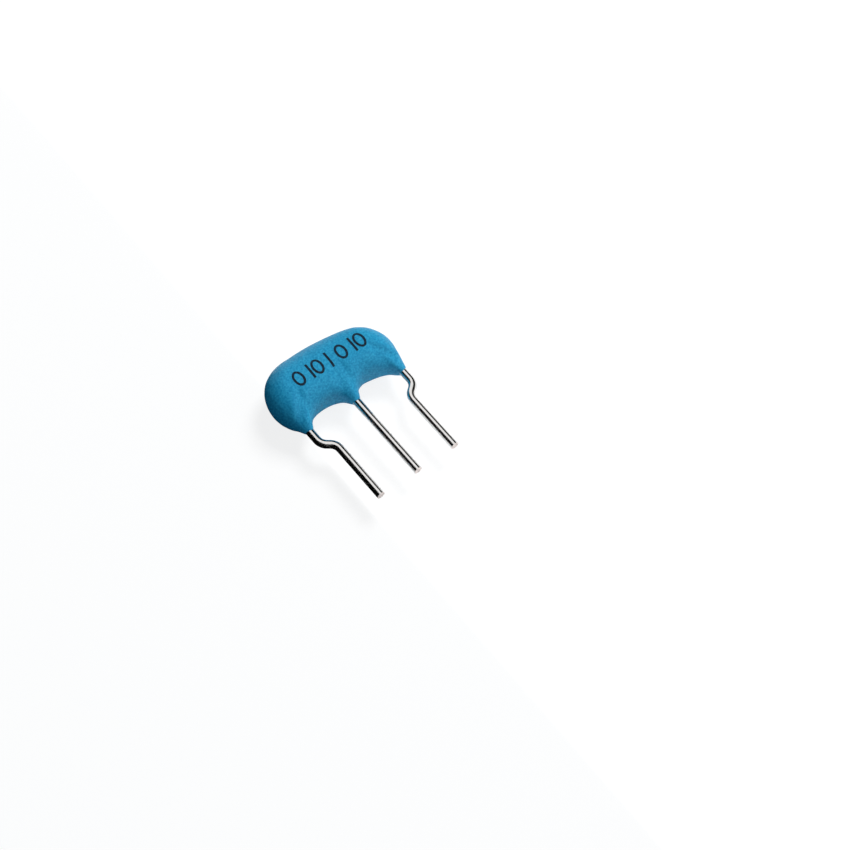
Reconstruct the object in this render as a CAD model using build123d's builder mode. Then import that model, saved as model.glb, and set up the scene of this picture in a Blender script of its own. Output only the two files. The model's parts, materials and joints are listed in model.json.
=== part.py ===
"""Three-lead ceramic resonator with built-in load capacitors.

The part lies on the flat of its back, as it comes to rest on a bench.

Frame: +Z up, through the thickness of the coating, with the flat back on Z = 0.
       +X along the row of leads, and the leads leave the body toward -Y.
       The origin is on the flat back, in line with the middle lead and half way up the body.

Millimetres throughout.
"""

from build123d import *
import os

# --- driving dimensions: leads --------------------------------------------------------------
pitch = 2.5                # spacing of the lead row at the board
wire_d = 0.48              # tinned wire
exit_y = -2.62             # where the leads leave the coating
shoulder_x = 3.17          # outer leads start this far out, then step in to the pitch
step_top_y = exit_y - 0.88     # corner where an outer lead turns in
step_bottom_y = exit_y - 1.42  # corner where it turns down again
bend_r = 0.5               # centre-line radius of both corners
tip_y = exit_y - 5.33      # cut ends of the leads

# --- driving dimensions: coating ------------------------------------------------------------
coat_t = 2.9
mid_z = coat_t / 2         # the leads lie in the middle plane of the coating
arch_h = 0.86              # crown of the arches between the tails, above the lead exits
end_r = 1.5                # radius of the body's lower corners
round_r = 1.42             # rounding of the rim, nearly half the thickness

# --- driving dimensions: ceramic stack ------------------------------------------------------
stack_y = -0.42            # middle of both ceramic plates
plate_len = 5.8
capacitor_w, capacitor_t = 1.9, 0.35
resonator_w, resonator_t = 1.4, 0.25
film_t = 0.02              # fired silver electrode
bond_t = 0.06              # conductive adhesive between the plates
bond_len = 0.7
film_margin = 0.1          # bare ceramic along the long edges of an electrode
ground_len = 3.6           # capacitor electrode on the back
electrode_gap = 1.0        # between the input and output electrodes on the front
overlap = 1.2              # length where the resonator's two electrodes face each other
paddle_w, paddle_t, paddle_len = 0.85, 0.2, 1.4   # coined end of the middle lead
neck_w, neck_y = 0.44, exit_y + 0.3   # where the coined flat starts to widen from the wire
clip_t = 0.15              # metal of the clips at the ends of the outer leads
clip_reach = 0.5           # how far a clip's jaws lap over the plates
clip_y, clip_len = -1.1, 1.3   # foot of the clips and their length along the lead
clip_root = 0.2            # overlap of a lead's coined end with its own wire
solder_t = 0.08
cavity_w, cavity_top = 1.7, 0.25   # room for the resonator to vibrate

# --- derived heights through the stack ------------------------------------------------------
ground_z = mid_z - wire_d / 2 + paddle_t      # back of the ground electrode, on the paddle
capacitor_z = ground_z + film_t
capacitor_front = capacitor_z + capacitor_t
bond_z = capacitor_front + film_t
resonator_back_z = bond_z + bond_t
resonator_z = resonator_back_z + film_t
resonator_front = resonator_z + resonator_t
stack_top = resonator_front + film_t
plate_bottom_y = stack_y - capacitor_w / 2

os.makedirs("parts", exist_ok=True)


def write(builder, name):
    """Labels a finished piece and writes it under the same name."""
    builder.part.label = name
    export_step(builder.part, f"parts/{name}.step")


def slab(x0, x1, width, z0, z1):
    """A flat piece of the stack, centred on the plates across their width."""
    with BuildPart() as piece:
        with BuildSketch(Plane.XY.offset(z0)):
            with Locations(((x0 + x1) / 2, stack_y)):
                Rectangle(x1 - x0, width)
        extrude(amount=z1 - z0)
    return piece


# --- ceramic plates -------------------------------------------------------------------------
half = plate_len / 2
capacitor_plate = slab(-half, half, capacitor_w, capacitor_z, capacitor_front)
resonator_plate = slab(-half, half, resonator_w, resonator_z, resonator_front)

# --- silver electrodes ----------------------------------------------------------------------
capacitor_film_w = capacitor_w - 2 * film_margin
resonator_film_w = resonator_w - 2 * film_margin
ground_electrode = slab(-ground_len / 2, ground_len / 2, capacitor_film_w, ground_z, capacitor_z)
input_electrode = slab(-half, -electrode_gap / 2, capacitor_film_w, capacitor_front, bond_z)
output_electrode = slab(electrode_gap / 2, half, capacitor_film_w, capacitor_front, bond_z)
resonator_back_electrode = slab(-half, overlap / 2, resonator_film_w, resonator_back_z, resonator_z)
resonator_front_electrode = slab(-overlap / 2, half, resonator_film_w, resonator_front, stack_top)

# --- conductive bonds that hold the resonator off the capacitor at both ends -----------------
input_bond = slab(-half, bond_len - half, resonator_film_w, bond_z, resonator_back_z)
# the resonator's back electrode stops short of this end, so this bond fills the film's depth too
output_bond = slab(half - bond_len, half, resonator_film_w, bond_z, resonator_z)

# --- middle lead: straight wire, coined flat inside the coating into a paddle ----------------
with BuildPart() as ground_lead:
    with BuildSketch(Plane.XZ.offset(-tip_y)):
        with Locations((0, mid_z)):
            Circle(wire_d / 2)
    extrude(amount=tip_y - neck_y - clip_root)
    with BuildSketch(Plane.XY.offset(ground_z - paddle_t)):
        with BuildLine():
            Polyline(
                (-neck_w / 2, neck_y),
                (neck_w / 2, neck_y),
                (paddle_w / 2, plate_bottom_y),
                (paddle_w / 2, plate_bottom_y + paddle_len),
                (-paddle_w / 2, plate_bottom_y + paddle_len),
                (-paddle_w / 2, plate_bottom_y),
                close=True,
            )
        make_face()
    extrude(amount=paddle_t)
    fillet(ground_lead.edges().filter_by(Axis.Z).group_by(Axis.Y)[-1], paddle_w / 4)

# --- right-hand lead: a kinked wire whose end is folded into a clip around the plates ---------
with BuildPart() as output_lead:
    with BuildLine():
        FilletPolyline(
            (pitch, tip_y, mid_z),
            (pitch, step_bottom_y, mid_z),
            (shoulder_x, step_top_y, mid_z),
            (shoulder_x, clip_y + clip_root, mid_z),
            radius=bend_r,
        )
    with BuildSketch(Plane.XZ.offset(-tip_y)):
        with Locations((pitch, mid_z)):
            Circle(wire_d / 2)
    sweep()
    with BuildSketch(Plane.XZ.offset(-clip_y)):
        with Locations((half + clip_t, (ground_z + stack_top) / 2)):
            Rectangle(
                clip_t + clip_reach, stack_top - ground_z + 2 * clip_t, align=(Align.MAX, Align.CENTER)
            )
    extrude(amount=-clip_len)
    with BuildSketch(Plane.XZ.offset(-clip_y)):
        with Locations((half, (ground_z + stack_top) / 2)):
            Rectangle(plate_len, stack_top - ground_z, align=(Align.MAX, Align.CENTER))
    extrude(amount=-clip_len, mode=Mode.SUBTRACT)

# --- left-hand lead: the same, turned over ----------------------------------------------------
with BuildPart() as input_lead:
    mirror(output_lead.part, about=Plane.YZ)

ceramics = [capacitor_plate, resonator_plate]
films = [
    ground_electrode, input_electrode, output_electrode,
    resonator_back_electrode, resonator_front_electrode,
]
bonds = [input_bond, output_bond]
leads = [input_lead, ground_lead, output_lead]

# --- solder that wets each clip and fills it out onto the plates ------------------------------
solder_len = 1.0
solder_in = half - bond_len
solder_out = half + clip_t + solder_t
solder_depth = stack_top - ground_z + 2 * (clip_t + solder_t)


def clip_solder(side):
    """Solder over one clip: side is -1 for the left end and 1 for the right."""
    with BuildPart() as solder:
        with BuildSketch(Plane.XZ.offset(-(stack_y - solder_len / 2))) as section:
            with Locations((side * (solder_in + solder_out) / 2, (ground_z + stack_top) / 2)):
                Rectangle(solder_out - solder_in, solder_depth)
            fillet(section.vertices(), clip_t)
        extrude(amount=-solder_len)
        for other in ceramics + films + bonds + leads:
            add(other, mode=Mode.SUBTRACT)
    return solder


input_solder = clip_solder(-1)
output_solder = clip_solder(1)

# --- solder around the middle lead's paddle, on the ground electrode --------------------------
with BuildPart() as ground_solder:
    with BuildSketch(Plane.XY.offset(ground_z)):
        with Locations((0, stack_y)):
            RectangleRounded(paddle_w + 0.45, 1.3, 0.3)
    extrude(amount=-(paddle_t + solder_t), taper=20)
    add(ground_lead, mode=Mode.SUBTRACT)

# --- room for the middle of the resonator to vibrate ------------------------------------------
with BuildPart() as cavity:
    with BuildSketch(Plane.XY.offset(capacitor_front)):
        with Locations((0, stack_y)):
            Rectangle(2 * solder_in, cavity_w)
    extrude(amount=stack_top + cavity_top - capacitor_front)
    fillet(cavity.faces().sort_by(Axis.Z)[-1].edges(), cavity_top / 2)

# --- epoxy coating ------------------------------------------------------------------------------
# Each tail is lofted through ellipses: (height above the lead exits, left, right, half thickness).
tails = [
    [(0, -3.46, -2.88, 0.29), (0.45, -3.62, -2.62, 0.52), (0.86, -3.8, -1.95, 0.75),
     (1.4, -4.0, -1.8, 0.98), (2.3, -4.12, -1.9, 1.1)],
    [(0, -0.29, 0.29, 0.29), (0.45, -0.47, 0.47, 0.52), (0.86, -1.0, 1.0, 0.75), (1.4, -1.3, 1.3, 0.98)],
    [(0, 2.88, 3.46, 0.29), (0.45, 2.5, 3.54, 0.52), (0.86, 1.85, 3.64, 0.75),
     (1.4, 1.6, 3.7, 0.98), (2.3, 1.7, 3.71, 1.1)],
]


def above_exits(x, height):
    """A point of the coating's outline, by its height above the lead exits."""
    return (x, exit_y + height)


with BuildPart() as coating:
    with BuildSketch():
        with BuildLine():
            right_end = CenterArc(above_exits(2.31, arch_h + end_r), end_r, -90, 110)
            left_end = CenterArc(above_exits(-2.68, arch_h + end_r), end_r, 160, 110)
            Spline(
                right_end @ 1,
                above_exits(2.47, 3.86),
                above_exits(1.3, 4.22),
                above_exits(-1.1, 4.41),
                above_exits(-2.6, 4.26),
                left_end @ 0,
                tangents=[right_end % 1, left_end % 0],
            )
            Line(left_end @ 1, right_end @ 0)
        make_face()
    extrude(amount=coat_t)
    fillet(coating.faces().filter_by(Axis.Z).edges(), round_r)
    for stations in tails:
        for height, left, right, half_t in stations:
            with BuildSketch(Plane.XZ.offset(-exit_y - height)):
                with Locations(((left + right) / 2, mid_z)):
                    Ellipse((right - left) / 2, half_t)
        loft()
    add(cavity, mode=Mode.SUBTRACT)
    for other in ceramics + films + bonds + leads + [input_solder, ground_solder, output_solder]:
        add(other, mode=Mode.SUBTRACT)

# --- written pieces -----------------------------------------------------------------------------
write(coating, "coating")
write(capacitor_plate, "capacitor_plate")
write(resonator_plate, "resonator_plate")
write(ground_electrode, "ground_electrode")
write(input_electrode, "input_electrode")
write(output_electrode, "output_electrode")
write(resonator_back_electrode, "resonator_back_electrode")
write(resonator_front_electrode, "resonator_front_electrode")
write(input_bond, "input_bond")
write(output_bond, "output_bond")
write(input_lead, "input_lead")
write(ground_lead, "ground_lead")
write(output_lead, "output_lead")
write(input_solder, "input_solder")
write(ground_solder, "ground_solder")
write(output_solder, "output_solder")
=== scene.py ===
"""Looks of a three-lead ceramic resonator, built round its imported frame.

Sizes in the property groups are millimetres. A piece is modelled at a thousand times its size,
where a millimetre is one unit, and is brought down to metres when it is finished.
"""

import bpy
import json
import math

from bpy.props import FloatProperty, IntProperty, PointerProperty, StringProperty
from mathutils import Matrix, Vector


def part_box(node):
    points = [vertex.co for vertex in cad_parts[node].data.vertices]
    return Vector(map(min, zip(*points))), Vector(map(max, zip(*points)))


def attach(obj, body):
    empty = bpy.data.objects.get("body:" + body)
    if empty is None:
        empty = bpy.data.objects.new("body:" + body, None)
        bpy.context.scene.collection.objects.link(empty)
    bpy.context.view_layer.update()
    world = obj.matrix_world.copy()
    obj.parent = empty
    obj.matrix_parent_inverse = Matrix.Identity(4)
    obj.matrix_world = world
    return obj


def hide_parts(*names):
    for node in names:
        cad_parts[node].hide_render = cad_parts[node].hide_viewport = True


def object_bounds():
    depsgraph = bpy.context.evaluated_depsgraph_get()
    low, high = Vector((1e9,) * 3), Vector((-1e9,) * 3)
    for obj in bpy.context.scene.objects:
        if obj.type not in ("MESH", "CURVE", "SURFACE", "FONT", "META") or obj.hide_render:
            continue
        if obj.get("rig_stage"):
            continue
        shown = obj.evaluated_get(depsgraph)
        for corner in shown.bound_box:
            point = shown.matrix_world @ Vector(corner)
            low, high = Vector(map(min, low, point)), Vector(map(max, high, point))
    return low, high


bl_info = {
    "name": "Ceramic Resonator",
    "version": (1, 0, 0),
    "blender": (4, 5, 0),
    "location": "View3D > Sidebar > Resonator",
    "description": "Epoxy coating, ink marks, tinned leads and stage of a ceramic resonator",
    "category": "Object",
}

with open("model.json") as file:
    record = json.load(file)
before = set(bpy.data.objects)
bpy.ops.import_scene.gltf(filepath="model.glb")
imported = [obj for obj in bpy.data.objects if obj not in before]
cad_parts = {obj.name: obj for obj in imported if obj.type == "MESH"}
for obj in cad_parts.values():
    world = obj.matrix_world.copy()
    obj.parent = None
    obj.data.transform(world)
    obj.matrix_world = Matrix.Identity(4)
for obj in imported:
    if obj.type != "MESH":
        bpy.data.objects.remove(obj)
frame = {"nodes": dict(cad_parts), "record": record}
CAD_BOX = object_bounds()
MM = 0.001
COAT_LOW, COAT_HIGH = (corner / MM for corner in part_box("coating"))
LEAD_LOW, LEAD_HIGH = (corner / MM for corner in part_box("ground_lead"))
WIRE_R = (LEAD_HIGH.z - LEAD_LOW.z) / 2
WIRE_SIDES = 32
BEND_STEPS = 8
HIDDEN = 0.25  # how far a smooth wire runs up inside the coating
CUT_DEPTH = 0.01  # how much of a wire's end looks sheared
INK_LIFT, INK_T = 0.004, 0.006  # ink above the coating, and its thickness
MARK_CLEAR = 0.3  # height above the coating from which the marks are projected
# numbered sockets of a colour ShaderNodeMix
MIX_A, MIX_B, MIX_RESULT = 6, 7, 2
MID_Z = (COAT_LOW.z + COAT_HIGH.z) / 2
EXIT_Y = COAT_LOW.y
HALF_T = (COAT_HIGH.z - COAT_LOW.z) / 2

# The coating's outline in its middle plane, as (x, height above the lead exits) in millimetres.
ARCH = 0.88
TAIL_END = -0.2
RIM = (
    # up the right-hand end, over the top and down the left-hand end
    (3.44, 0.05), (3.57, 0.62), (3.7, 1.25), (3.76, 1.9), (3.6, 2.56), (3.16, 3.25),
    (2.47, 3.77), (1.3, 4.13), (0.1, 4.32), (-1.1, 4.38), (-2.3, 4.33), (-3.07, 4.08),
    (-3.64, 3.64), (-4.0, 3.03), (-4.17, 2.3), (-4.12, 1.65), (-3.93, 1.12), (-3.67, 0.58),
    # left-hand tail, arch, middle tail, arch, right-hand tail
    (-3.46, 0.05), (-3.18, TAIL_END), (-2.9, 0.05), (-2.72, 0.42), (-2.33, 0.73),
    (-1.7, ARCH), (-1.0, 0.82), (-0.55, 0.57), (-0.33, 0.17), (0, TAIL_END),
    (0.33, 0.17), (0.55, 0.6), (1.1, ARCH), (1.75, 0.79), (2.35, 0.53), (2.8, 0.17), (3.17, TAIL_END),
)
# The flat of either face is a capsule about this line.
CORE_LEFT, CORE_RIGHT, CORE_R = Vector((-2.3, 2.6)), Vector((1.9, 2.55)), 0.33

# The stage, in metres: name, place, size, then power and tint of a lamp.
LAMPS = (
    ("key", (0.16, 0.05, 0.24), 0.12, 0.66, (1, 1, 1)),
    ("fill", (0.16, -0.18, 0.22), 0.20, 0.2, (1, 1, 1)),
    ("cool", (-0.20, -0.06, 0.12), 0.20, 0.14, (0.5, 0.8, 1.0)),
)
# Black cards, hidden from the camera: name, place, size, turn, and whether soft light sees them
# too. They draw the dark bands along the wires and darken the coating's left-hand end.
CARDS = (
    ("floor_flag", (-0.034, 0.0, 0.0001), (0.062, 0.2), (0, 0, 0), True),
    ("side_flag", (-0.060, 0.060, 0.080), (0.16, 0.30), (0, math.pi / 2, 0), True),
    ("edge_flag", (0.090, 0.060, 0.085), (0.13, 0.30), (0, math.pi / 2, 0), False),
)
FLOOR_SIZE = 1.2
FLOOR_GLOW, FLOOR_SHARE = 1.07, 0.78  # what the camera sees: glow, and its share over the paint
SKY_SOFT, SKY_SEEN = 0.38, 1.0  # sky for soft light, and for the camera, reflections and glass
CAMERA_SHIFT = 0.0792, -0.0267


# --- helpers ----------------------------------------------------------------------------------
def linear(hex_colour, alpha=1.0):
    """An sRGB hex colour such as "3094C0", as linear red, green, blue and alpha."""
    channels = [int(hex_colour[i:i + 2], 16) / 255 for i in (0, 2, 4)]
    return [c / 12.92 if c <= 0.04045 else ((c + 0.055) / 1.055) ** 2.4 for c in channels] + [alpha]


def add_node(tree, kind, settings=None, **links):
    """Adds a node. settings are attributes or input values, and links are input sockets."""
    node = tree.nodes.new(kind)
    for key, value in (settings or {}).items():
        if key in node.inputs:
            node.inputs[key].default_value = value
        else:
            setattr(node, key, value)
    for key, source in links.items():
        names = [s for s in node.inputs if s.name.replace(" ", "_") == key]
        tree.links.new(source, names[0] if names else node.inputs[int(key.strip("_"))])
    return node


def blend_colours(tree, low, high, factor):
    """A mix of two colours by a factor socket, and its result socket."""
    mix = add_node(tree, "ShaderNodeMix", {"data_type": "RGBA"})
    mix.inputs[MIX_A].default_value, mix.inputs[MIX_B].default_value = low, high
    tree.links.new(factor, mix.inputs[0])
    return mix.outputs[MIX_RESULT]


def new_material(name):
    """An empty node material and its output node."""
    material = bpy.data.materials.new(name)
    material.use_nodes = True
    material.node_tree.nodes.clear()
    return material, material.node_tree, material.node_tree.nodes.new("ShaderNodeOutputMaterial")


def deselect():
    if bpy.context.object and bpy.context.object.mode != "OBJECT":
        bpy.ops.object.mode_set(mode="OBJECT")
    bpy.ops.object.select_all(action="DESELECT")


def only(piece):
    """Makes one object the selected and active one."""
    deselect()
    piece.select_set(True)
    bpy.context.view_layer.objects.active = piece


def apply_modifier(piece, kind, **settings):
    """Adds one modifier with its settings and applies it."""
    only(piece)
    modifier = piece.modifiers.new(kind.title(), kind)
    for key, value in settings.items():
        setattr(modifier, key, value)
    bpy.ops.object.modifier_apply(modifier=modifier.name)


def cut_below(piece, y):
    """Cuts a piece square across the leads at y, closes it and drops what is below."""
    only(piece)
    bpy.ops.object.mode_set(mode="EDIT")
    bpy.ops.mesh.select_all(action="SELECT")
    bpy.ops.mesh.bisect(plane_co=(0, y, 0), plane_no=(0, 1, 0), use_fill=True, clear_inner=True)
    bpy.ops.object.mode_set(mode="OBJECT")


def to_metres(piece):
    """Brings a piece modelled in millimetres to its real size, with its place in its mesh."""
    only(piece)
    piece.scale = [factor * MM for factor in piece.scale]
    piece.location = piece.location * MM
    bpy.ops.object.transform_apply(location=True, rotation=True, scale=True)


def enlarged_copy(node):
    """A copy of a CAD node's mesh in millimetres, its loose triangles merged."""
    only(frame["nodes"][node])
    bpy.ops.object.duplicate()
    piece = bpy.context.object
    for key in [k for k in piece.keys() if k.startswith("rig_")]:
        del piece[key]
    piece.parent = None
    piece.scale = (1 / MM,) * 3
    bpy.ops.object.transform_apply(location=True, rotation=True, scale=True)
    bpy.ops.object.mode_set(mode="EDIT")
    bpy.ops.mesh.select_all(action="SELECT")
    bpy.ops.mesh.remove_doubles(threshold=0.0005)
    bpy.ops.object.mode_set(mode="OBJECT")
    return piece


def skin(outlines):
    """A closed skin over a stack of outlines with the same number of points each."""
    rings = []
    for outline in outlines:
        deselect()
        bpy.ops.mesh.primitive_circle_add(vertices=len(outline))
        ring = bpy.context.object
        for vertex, place in zip(ring.data.vertices, outline):
            vertex.co = place
        rings.append(ring)
    deselect()
    for ring in rings:
        ring.select_set(True)
    bpy.context.view_layer.objects.active = rings[0]
    bpy.ops.object.join()
    bpy.ops.object.mode_set(mode="EDIT")
    bpy.ops.mesh.select_all(action="SELECT")
    bpy.ops.mesh.bridge_edge_loops()
    bpy.ops.mesh.select_all(action="DESELECT")
    bpy.ops.mesh.select_mode(type="EDGE")
    bpy.ops.mesh.select_non_manifold()
    bpy.ops.mesh.edge_face_add()
    bpy.ops.mesh.select_all(action="SELECT")
    bpy.ops.mesh.normals_make_consistent(inside=False)
    bpy.ops.object.mode_set(mode="OBJECT")
    return rings[0]


def smooth_ring(points, cuts):
    """Points of a closed smooth line through the given ones, with cuts points to each span."""
    dense = []
    for i, start in enumerate(points):
        before, end, after = points[i - 1], points[(i + 1) % len(points)], points[(i + 2) % len(points)]
        for step in range(cuts):
            t = step / cuts
            dense.append(0.5 * (
                2 * start + (end - before) * t
                + (2 * before - 5 * start + 4 * end - after) * t ** 2
                + (3 * start - before - 3 * end + after) * t ** 3
            ))
    return dense


def level_outline(angle):
    """The coating's outline where its round edge has turned by angle from the middle plane.

    Each point moves toward the flat's capsule: along a quarter ellipse on the body, and along
    the slimmer taper of a drawn-out drop on the tails.
    """
    line = CORE_RIGHT - CORE_LEFT
    outline = []
    for point in smooth_ring([Vector(p) for p in RIM], 4):
        along = min(max((point - CORE_LEFT).dot(line) / line.length_squared, 0), 1)
        nearest = CORE_LEFT + line * along
        away = (point - nearest).length
        tail = min(max(1 - point.y / ARCH, 0), 1)
        tail = tail * tail * (3 - 2 * tail)
        turned = (1 - tail) * (1 - math.cos(angle)) + tail * abs(math.sin(angle)) ** 1.6
        outline.append(point.lerp(nearest, turned * (away - CORE_R) / away))
    return outline


def dress(piece, name, material):
    """Names a finished piece, gives it its only material and puts it on the body."""
    piece.name = piece.data.name = name
    piece.data.materials.clear()
    piece.data.materials.append(material)
    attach(piece, "root")


# --- materials ----------------------------------------------------------------------------------
def dipped_epoxy(settings):
    """Pigmented epoxy, cured from a powder dip: satin, slightly pitted and unevenly blue."""
    material, tree, output = new_material("dipped blue epoxy")
    place = add_node(tree, "ShaderNodeTexCoord").outputs["Object"]
    # pigment clusters about 0.1 mm across
    grain = add_node(tree, "ShaderNodeTexNoise", {"Scale": 1 / (0.11 * MM), "Detail": 2.0}, Vector=place)
    blend = add_node(
        tree, "ShaderNodeMapRange", {"From Min": 0.3, "From Max": 0.7}, Value=grain.outputs["Fac"]
    )
    tone = blend_colours(
        tree, linear(settings.pit_hex), linear(settings.coat_hex), blend.outputs["Result"]
    )
    # orange peel about 0.2 mm across
    peel = add_node(tree, "ShaderNodeTexNoise", {"Scale": 1 / (0.2 * MM), "Detail": 2.0}, Vector=place)
    bump = add_node(
        tree, "ShaderNodeBump", {"Strength": settings.peel, "Distance": 0.03 * MM},
        Height=peel.outputs["Fac"],
    )
    shader = add_node(
        tree, "ShaderNodeBsdfPrincipled", {"Roughness": 0.5, "IOR": 1.5, "Specular IOR Level": 0.3},
        Base_Color=tone, Normal=bump.outputs["Normal"],
    )
    tree.links.new(shader.outputs[0], output.inputs[0])
    return material


def pad_ink(settings):
    """Black marking ink, pad-printed: thin, dull and a little starved, so the blue shows through."""
    material, tree, output = new_material("black pad-printing ink")
    place = add_node(tree, "ShaderNodeTexCoord").outputs["Object"]
    cover = add_node(tree, "ShaderNodeTexNoise", {"Scale": 1 / (0.12 * MM), "Detail": 2.0}, Vector=place)
    ramp = add_node(
        tree, "ShaderNodeMapRange", {"From Min": 0.35, "From Max": 0.6}, Value=cover.outputs["Fac"]
    )
    tone = blend_colours(
        tree, linear(settings.thin_hex), linear(settings.ink_hex), ramp.outputs["Result"]
    )
    shader = add_node(
        tree, "ShaderNodeBsdfPrincipled", {"Roughness": 0.6, "Specular IOR Level": 0.2}, Base_Color=tone
    )
    tree.links.new(shader.outputs[0], output.inputs[0])
    return material


def tinned_wire(settings):
    """Copper-clad wire drawn and hot-tinned: bright, with faint streaks along its length."""
    material, tree, output = new_material("hot-tinned wire")
    place = add_node(tree, "ShaderNodeTexCoord").outputs["Object"]
    along = add_node(
        tree, "ShaderNodeMapping", {"Scale": (1 / (0.06 * MM), 1 / (2 * MM), 1 / (0.06 * MM))},
        Vector=place,
    )
    streaks = add_node(
        tree, "ShaderNodeTexNoise", {"Scale": 1.0, "Detail": 2.0}, Vector=along.outputs[0]
    )
    rough = add_node(
        tree, "ShaderNodeMapRange", {"To Min": 0.12, "To Max": 0.26}, Value=streaks.outputs["Fac"]
    )
    bump = add_node(
        tree, "ShaderNodeBump", {"Strength": 0.04, "Distance": 0.002 * MM},
        Height=streaks.outputs["Fac"],
    )
    shader = add_node(
        tree, "ShaderNodeBsdfPrincipled",
        {"Base Color": linear(settings.tin_hex), "Metallic": 1.0},
        Roughness=rough.outputs["Result"], Normal=bump.outputs["Normal"],
    )
    # the sheared end is bare, without the tinning's shine
    bare = add_node(
        tree, "ShaderNodeBsdfPrincipled", {"Base Color": linear(settings.cut_hex), "Roughness": 0.55}
    )
    axes = add_node(tree, "ShaderNodeSeparateXYZ", Vector=place)
    cut = add_node(tree, "ShaderNodeMath", {"operation": "LESS_THAN"}, _0_=axes.outputs["Y"])
    cut.inputs[1].default_value = (LEAD_LOW.y + CUT_DEPTH) * MM
    mix = add_node(
        tree, "ShaderNodeMixShader",
        _0_=cut.outputs[0], _1_=shader.outputs[0], _2_=bare.outputs[0],
    )
    tree.links.new(mix.outputs[0], output.inputs[0])
    return material


def grained(name, hex_colour, roughness, metallic, grain):
    """A fired or reflowed surface whose tone varies over grains of the given size in millimetres."""
    material, tree, output = new_material(name)
    place = add_node(tree, "ShaderNodeTexCoord").outputs["Object"]
    grains = add_node(tree, "ShaderNodeTexNoise", {"Scale": 1 / (grain * MM), "Detail": 2.0}, Vector=place)
    full = linear(hex_colour)
    dark = [channel * 0.8 for channel in full[:3]] + [1.0]
    tone = blend_colours(tree, dark, full, grains.outputs["Fac"])
    shader = add_node(
        tree, "ShaderNodeBsdfPrincipled", {"Roughness": roughness, "Metallic": float(metallic)},
        Base_Color=tone,
    )
    tree.links.new(shader.outputs[0], output.inputs[0])
    return material


def black_felt():
    """Black felt on card, which gives back almost no light."""
    material, tree, output = new_material("black felt")
    shader = add_node(tree, "ShaderNodeBsdfDiffuse", {"Color": linear("0A0A0A")})
    tree.links.new(shader.outputs[0], output.inputs[0])
    return material


# --- properties ---------------------------------------------------------------------------------
class CoatingSettings(bpy.types.PropertyGroup):
    voxel: FloatProperty(
        name="Voxel", description="Cell the dip is remeshed with, in mm", default=0.05, min=0.02
    )
    smoothing: IntProperty(
        name="Smoothing", description="Passes that melt the outlines together", default=45, min=0
    )
    swell: FloatProperty(name="Swell", description="Unevenness of the coat, in mm", default=0.05)
    turn_step: IntProperty(
        name="Turn step", description="Degrees of the round edge between two rings", default=10
    )
    peel: FloatProperty(name="Peel", description="Depth of the orange peel", default=0.5)
    coat_hex: StringProperty(name="Coat", description="Blue of the epoxy", default="2A9AC2")
    pit_hex: StringProperty(name="Pits", description="Darker blue in its pits", default="0C7AA6")


class InkSettings(bpy.types.PropertyGroup):
    height: FloatProperty(name="Height", description="Height of a mark, in mm", default=0.98)
    width: FloatProperty(name="Width", description="Width of a ring, in mm", default=0.66)
    stroke: FloatProperty(name="Stroke", description="Width of the ink line, in mm", default=0.135)
    spacing: FloatProperty(name="Spacing", description="Step along the row, in mm", default=0.77)
    start: FloatProperty(name="Start", description="Middle of the first mark, in mm", default=-2.13)
    row: FloatProperty(
        name="Row", description="Height of the row above the exits, in mm", default=2.43
    )
    pattern: StringProperty(
        name="Pattern", description="o for a ring, i for a stroke and a space for a gap",
        default="oioi oio",
    )
    ink_hex: StringProperty(name="Ink", description="Colour of full ink", default="101A22")
    thin_hex: StringProperty(name="Thin ink", description="Colour where it is thin", default="102C40")

    def layout(self):
        """The middle of each mark along the row, and whether it is a ring."""
        x = self.start
        for mark in self.pattern:
            if mark != " ":
                yield x, mark == "o"
            x += self.spacing * {"o": 1, "i": 0.62, " ": 0.45}[mark]


class LeadSettings(bpy.types.PropertyGroup):
    pitch: FloatProperty(name="Pitch", description="Spacing of the lead row, in mm", default=2.5)
    shoulder: FloatProperty(
        name="Shoulder", description="Where an outer lead leaves the coating, from the middle, in mm",
        default=3.17,
    )
    step_top: FloatProperty(
        name="Step top", description="Corner that turns in, below the exit, in mm", default=0.88
    )
    step_bottom: FloatProperty(
        name="Step bottom", description="Corner that turns down again, below the exit, in mm",
        default=1.42,
    )
    bend_r: FloatProperty(name="Bend", description="Radius of both corners, in mm", default=0.7)
    cut_hex: StringProperty(name="Cut end", description="Bare sheared metal", default="F3E4DE")
    tin_hex: StringProperty(name="Tin", description="Colour of the tinning", default="E6E4E2")


class StackSettings(bpy.types.PropertyGroup):
    resonator_hex: StringProperty(name="Resonator", description="Piezo ceramic", default="B9A583")
    capacitor_hex: StringProperty(name="Capacitor", description="Dielectric", default="CDB694")
    silver_hex: StringProperty(name="Silver", description="Fired electrodes", default="E4E2DC")
    bond_hex: StringProperty(name="Bond", description="Conductive adhesive", default="A9A7A2")
    solder_hex: StringProperty(name="Solder", description="Reflowed solder", default="C9C9C8")


class StageSettings(bpy.types.PropertyGroup):
    azimuth: FloatProperty(
        name="Azimuth", description="Side the camera stands on",
        default=math.radians(-37.3), unit="ROTATION",
    )
    elevation: FloatProperty(
        name="Elevation", description="Camera above the horizon",
        default=math.radians(59), unit="ROTATION",
    )
    distance: FloatProperty(
        name="Distance", description="Camera to the middle lead's exit, in mm", default=120.0
    )
    lens: FloatProperty(name="Lens", description="Focal length", default=93.6, unit="CAMERA")


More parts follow.
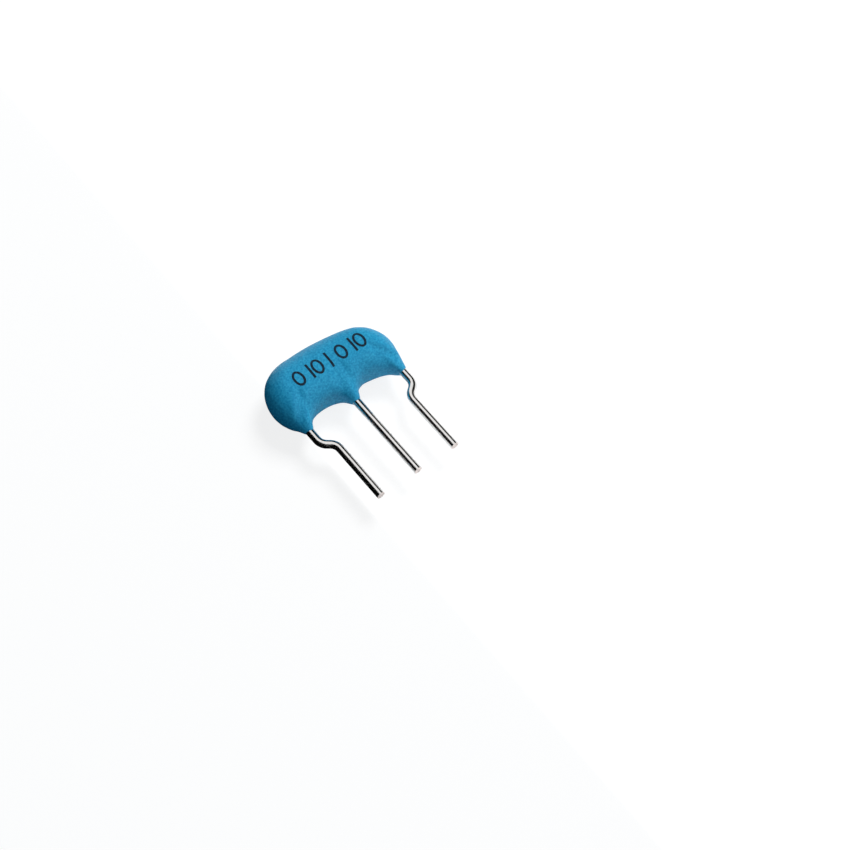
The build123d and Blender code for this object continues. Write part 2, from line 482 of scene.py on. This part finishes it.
# --- operators ----------------------------------------------------------------------------------
class RESONATOR_OT_coating(bpy.types.Operator):
    """Skins the coating over its outlines, melts it into one smooth dip and dresses it in epoxy"""

    bl_idname = "resonator.coating"
    bl_label = "Coating"

    def execute(self, context):
        settings = context.scene.resonator_coating
        outlines = []
        for degrees in range(-90, 91, settings.turn_step):
            z = MID_Z + HALF_T * math.sin(math.radians(degrees))
            outlines.append([(x, EXIT_Y + h, z) for x, h in level_outline(math.radians(degrees))])
        dip = skin(outlines)
        apply_modifier(dip, "REMESH", mode="VOXEL", voxel_size=settings.voxel, use_smooth_shade=True)
        apply_modifier(dip, "SMOOTH", factor=0.5, iterations=settings.smoothing)
        # a dipped coat cures slightly uneven
        swell = bpy.data.textures.new("uneven coat", "CLOUDS")
        swell.noise_scale = 1.1
        apply_modifier(
            dip, "DISPLACE", texture=swell, texture_coords="LOCAL", mid_level=0.75,
            strength=settings.swell,
        )
        cut_below(dip, EXIT_Y)
        bpy.ops.object.shade_smooth_by_angle(angle=math.radians(50))
        to_metres(dip)
        dress(dip, "dipped_coating", dipped_epoxy(settings))
        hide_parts("coating")
        return {"FINISHED"}


class RESONATOR_OT_ink(bpy.types.Operator):
    """Stamps a plain row of ink rings and strokes on the front face"""

    bl_idname = "resonator.ink"
    bl_label = "Ink marks"

    def execute(self, context):
        settings = context.scene.resonator_ink
        marks = []
        for x, ring in settings.layout():
            deselect()
            if ring:
                bpy.ops.mesh.primitive_circle_add(vertices=48, radius=0.5)
            else:
                bpy.ops.mesh.primitive_plane_add(size=1)
            mark = bpy.context.object
            centre = Vector((x, EXIT_Y + settings.row, MID_Z + HALF_T + MARK_CLEAR))
            if ring:
                for vertex in mark.data.vertices:
                    vertex.co = (vertex.co.x * settings.width, vertex.co.y * settings.height, 0)
                bpy.ops.object.mode_set(mode="EDIT")
                bpy.ops.mesh.select_all(action="SELECT")
                bpy.ops.mesh.extrude_edges_move()
                thin = 1 - 2 * settings.stroke / settings.width
                flat = 1 - 2 * settings.stroke / settings.height
                bpy.ops.transform.resize(value=(thin, flat, 1))
                bpy.ops.object.mode_set(mode="OBJECT")
            else:
                for vertex in mark.data.vertices:
                    vertex.co = (vertex.co.x * settings.stroke, vertex.co.y * settings.height, 0)
                bpy.ops.object.mode_set(mode="EDIT")
                bpy.ops.mesh.subdivide(number_cuts=12)
                bpy.ops.object.mode_set(mode="OBJECT")
            for vertex in mark.data.vertices:
                vertex.co = vertex.co + centre
            marks.append(mark)
        deselect()
        for mark in marks:
            mark.select_set(True)
        row = marks[0]
        bpy.context.view_layer.objects.active = row
        bpy.ops.object.join()
        to_metres(row)
        apply_modifier(
            row, "SHRINKWRAP", target=bpy.data.objects["dipped_coating"], wrap_method="PROJECT",
            use_project_z=True, use_negative_direction=True, use_positive_direction=False,
            offset=INK_LIFT * MM,
        )
        apply_modifier(row, "SOLIDIFY", thickness=INK_T * MM, offset=0)
        dress(row, "ink_marks", pad_ink(settings))
        return {"FINISHED"}


def lead_route(side, settings):
    """Centre line of a lead from its cut end up into the coating: side is -1, 0 or 1."""
    top = Vector((side * settings.shoulder, EXIT_Y + HIDDEN))
    if side == 0:
        return [Vector((0, LEAD_LOW.y)), top]
    corners = [
        Vector((side * settings.pitch, EXIT_Y - settings.step_bottom)),
        Vector((side * settings.shoulder, EXIT_Y - settings.step_top)),
    ]
    route = [Vector((side * settings.pitch, LEAD_LOW.y))]
    for before, corner, after in ((route[0], *corners), (*corners, top)):
        into, out = (corner - before).normalized(), (after - corner).normalized()
        turn = into.angle(out)
        reach = settings.bend_r * math.tan(turn / 2)
        bend = [corner - into * reach, corner, corner + out * reach]
        weight = math.cos(turn / 2)
        for step in range(BEND_STEPS + 1):
            t = step / BEND_STEPS
            shares = ((1 - t) ** 2, 2 * t * (1 - t) * weight, t ** 2)
            route.append(sum((p * w for p, w in zip(bend, shares)), Vector((0, 0))) / sum(shares))
    return route + [top]


class RESONATOR_OT_leads(bpy.types.Operator):
    """Draws the three wires as smooth tubes on their formed heads, and tins them"""

    bl_idname = "resonator.leads"
    bl_label = "Leads"

    def execute(self, context):
        settings = context.scene.resonator_leads
        tin = tinned_wire(settings)
        for side, name in ((-1, "input_lead"), (0, "ground_lead"), (1, "output_lead")):
            route = lead_route(side, settings)
            outlines = []
            for i, point in enumerate(route):
                ahead = route[min(i + 1, len(route) - 1)] - route[max(i - 1, 0)]
                across = Vector((ahead.y, -ahead.x)).normalized()
                outlines.append([
                    (
                        point.x + across.x * WIRE_R * math.cos(turn),
                        point.y + across.y * WIRE_R * math.cos(turn),
                        MID_Z + WIRE_R * math.sin(turn),
                    )
                    for turn in (2 * math.pi * k / WIRE_SIDES for k in range(WIRE_SIDES))
                ])
            wire = skin(outlines)
            head = enlarged_copy(name)
            cut_below(head, EXIT_Y + HIDDEN)
            only(wire)
            head.select_set(True)
            bpy.ops.object.join()
            bpy.ops.object.shade_smooth_by_angle(angle=math.radians(40))
            to_metres(wire)
            dress(wire, "tinned_" + name, tin)
            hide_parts(name)
        return {"FINISHED"}


class RESONATOR_OT_stack(bpy.types.Operator):
    """Gives the ceramic plates, silver films, bonds and solder inside the coating their finish"""

    bl_idname = "resonator.stack"
    bl_label = "Ceramic stack"

    def execute(self, context):
        settings = context.scene.resonator_stack
        finishes = {
            "resonator_ceramic": grained("lapped piezo ceramic", settings.resonator_hex, 0.6, 0, 0.02),
            "capacitor_ceramic": grained("fired barium titanate", settings.capacitor_hex, 0.7, 0, 0.03),
            "silver_film": grained("fired silver", settings.silver_hex, 0.45, 1, 0.02),
            "conductive_adhesive": grained("silver-filled epoxy", settings.bond_hex, 0.6, 0, 0.03),
            "solder": grained("reflowed solder", settings.solder_hex, 0.3, 1, 0.05),
        }
        for part in frame["record"]["subparts"]:
            if part["material_slot"] in finishes:
                mesh = frame["nodes"][part["node"]].data
                mesh.materials.clear()
                mesh.materials.append(finishes[part["material_slot"]])
        return {"FINISHED"}


class RESONATOR_OT_stage(bpy.types.Operator):
    """Lays the pale floor, lights it softly and sets the camera"""

    bl_idname = "resonator.stage"
    bl_label = "Stage"

    def execute(self, context):
        settings = context.scene.resonator_stage
        deselect()
        bpy.ops.mesh.primitive_plane_add(size=FLOOR_SIZE, location=(0, 0, 0))
        floor = bpy.context.object
        floor.name = "floor"
        material, tree, output = new_material("white laminate")
        path = add_node(tree, "ShaderNodeLightPath")
        paint = add_node(tree, "ShaderNodeBsdfDiffuse", {"Color": (1, 1, 1, 1)})
        glow = add_node(tree, "ShaderNodeEmission", {"Strength": FLOOR_GLOW})
        seen = add_node(
            tree, "ShaderNodeMath", {"operation": "MULTIPLY"}, _0_=path.outputs["Is Camera Ray"]
        )
        seen.inputs[1].default_value = FLOOR_SHARE
        mix = add_node(
            tree, "ShaderNodeMixShader",
            _0_=seen.outputs[0], _1_=paint.outputs[0], _2_=glow.outputs[0],
        )
        tree.links.new(mix.outputs[0], output.inputs[0])
        floor.data.materials.append(material)
        floor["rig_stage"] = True

        world = bpy.data.worlds.new("studio")
        context.scene.world = world
        world.use_nodes = True
        tree = world.node_tree
        sky = tree.nodes["Background"]
        sky.inputs["Color"].default_value = (1, 1, 1, 1)
        path = add_node(tree, "ShaderNodeLightPath")
        shown = path.outputs["Is Camera Ray"]
        for ray in ("Is Glossy Ray", "Is Transmission Ray"):
            either = add_node(
                tree, "ShaderNodeMath", {"operation": "MAXIMUM"}, _0_=shown, _1_=path.outputs[ray]
            )
            shown = either.outputs[0]
        level = add_node(
            tree, "ShaderNodeMapRange", {"To Min": SKY_SOFT, "To Max": SKY_SEEN}, Value=shown
        )
        tree.links.new(level.outputs["Result"], sky.inputs["Strength"])

        for name, place, size, power, tint in LAMPS:
            deselect()
            bpy.ops.object.light_add(type="AREA", location=place)
            lamp = bpy.context.object
            lamp.name = name
            lamp.data.size = size
            lamp.data.energy = power
            lamp.data.color = tint
            lamp.visible_glossy = False
            lamp.rotation_euler = (-Vector(place)).to_track_quat("-Z", "Y").to_euler()

        for name, place, size, turn, soft in CARDS:
            deselect()
            bpy.ops.mesh.primitive_plane_add(size=1, location=place, rotation=turn)
            flag = bpy.context.object
            flag.name = name
            flag.scale = (*size, 1)
            flag.data.materials.append(black_felt())
            flag.visible_camera = flag.visible_shadow = flag.visible_transmission = False
            flag.visible_diffuse = soft
            flag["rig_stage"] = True

        bpy.ops.object.camera_add()
        camera = bpy.context.object
        az, el = settings.azimuth, settings.elevation
        back_way = Vector((math.sin(az) * math.cos(el), -math.cos(az) * math.cos(el), math.sin(el)))
        aim = Vector((0, EXIT_Y, MID_Z)) * MM
        camera.location = aim + back_way * settings.distance * MM
        camera.rotation_euler = (-back_way).to_track_quat("-Z", "Y").to_euler()
        camera.data.lens = settings.lens
        camera.data.clip_start, camera.data.clip_end = 0.001, 10
        camera.data.shift_x, camera.data.shift_y = CAMERA_SHIFT
        context.scene.camera = camera
        context.scene.view_settings.view_transform = "Standard"
        return {"FINISHED"}


class RESONATOR_PT_panel(bpy.types.Panel):
    """Lists the resonator's pieces and stage"""

    bl_label = "Ceramic Resonator"
    bl_space_type = "VIEW_3D"
    bl_region_type = "UI"
    bl_category = "Resonator"

    def draw(self, context):
        for operator in OPERATORS:
            self.layout.operator(operator.bl_idname)


GROUPS = {
    "resonator_coating": CoatingSettings,
    "resonator_ink": InkSettings,
    "resonator_leads": LeadSettings,
    "resonator_stack": StackSettings,
    "resonator_stage": StageSettings,
}
OPERATORS = (
    RESONATOR_OT_coating,
    RESONATOR_OT_ink,
    RESONATOR_OT_leads,
    RESONATOR_OT_stack,
    RESONATOR_OT_stage,
)


def register():
    for cls in (*GROUPS.values(), *OPERATORS, RESONATOR_PT_panel):
        bpy.utils.register_class(cls)
    for name, group in GROUPS.items():
        setattr(bpy.types.Scene, name, PointerProperty(type=group))


def unregister():
    for name in GROUPS:
        delattr(bpy.types.Scene, name)
    for cls in (RESONATOR_PT_panel, *reversed(OPERATORS), *reversed(GROUPS.values())):
        bpy.utils.unregister_class(cls)


def main():
    register()
    bpy.ops.resonator.coating()
    bpy.ops.resonator.ink()
    bpy.ops.resonator.leads()
    bpy.ops.resonator.stack()
    bpy.ops.resonator.stage()
    boxes = {"cad": CAD_BOX, "visual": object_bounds()}
    {name: [list(corner) for corner in box] for name, box in boxes.items()}


if __name__ == "__main__":
    main()
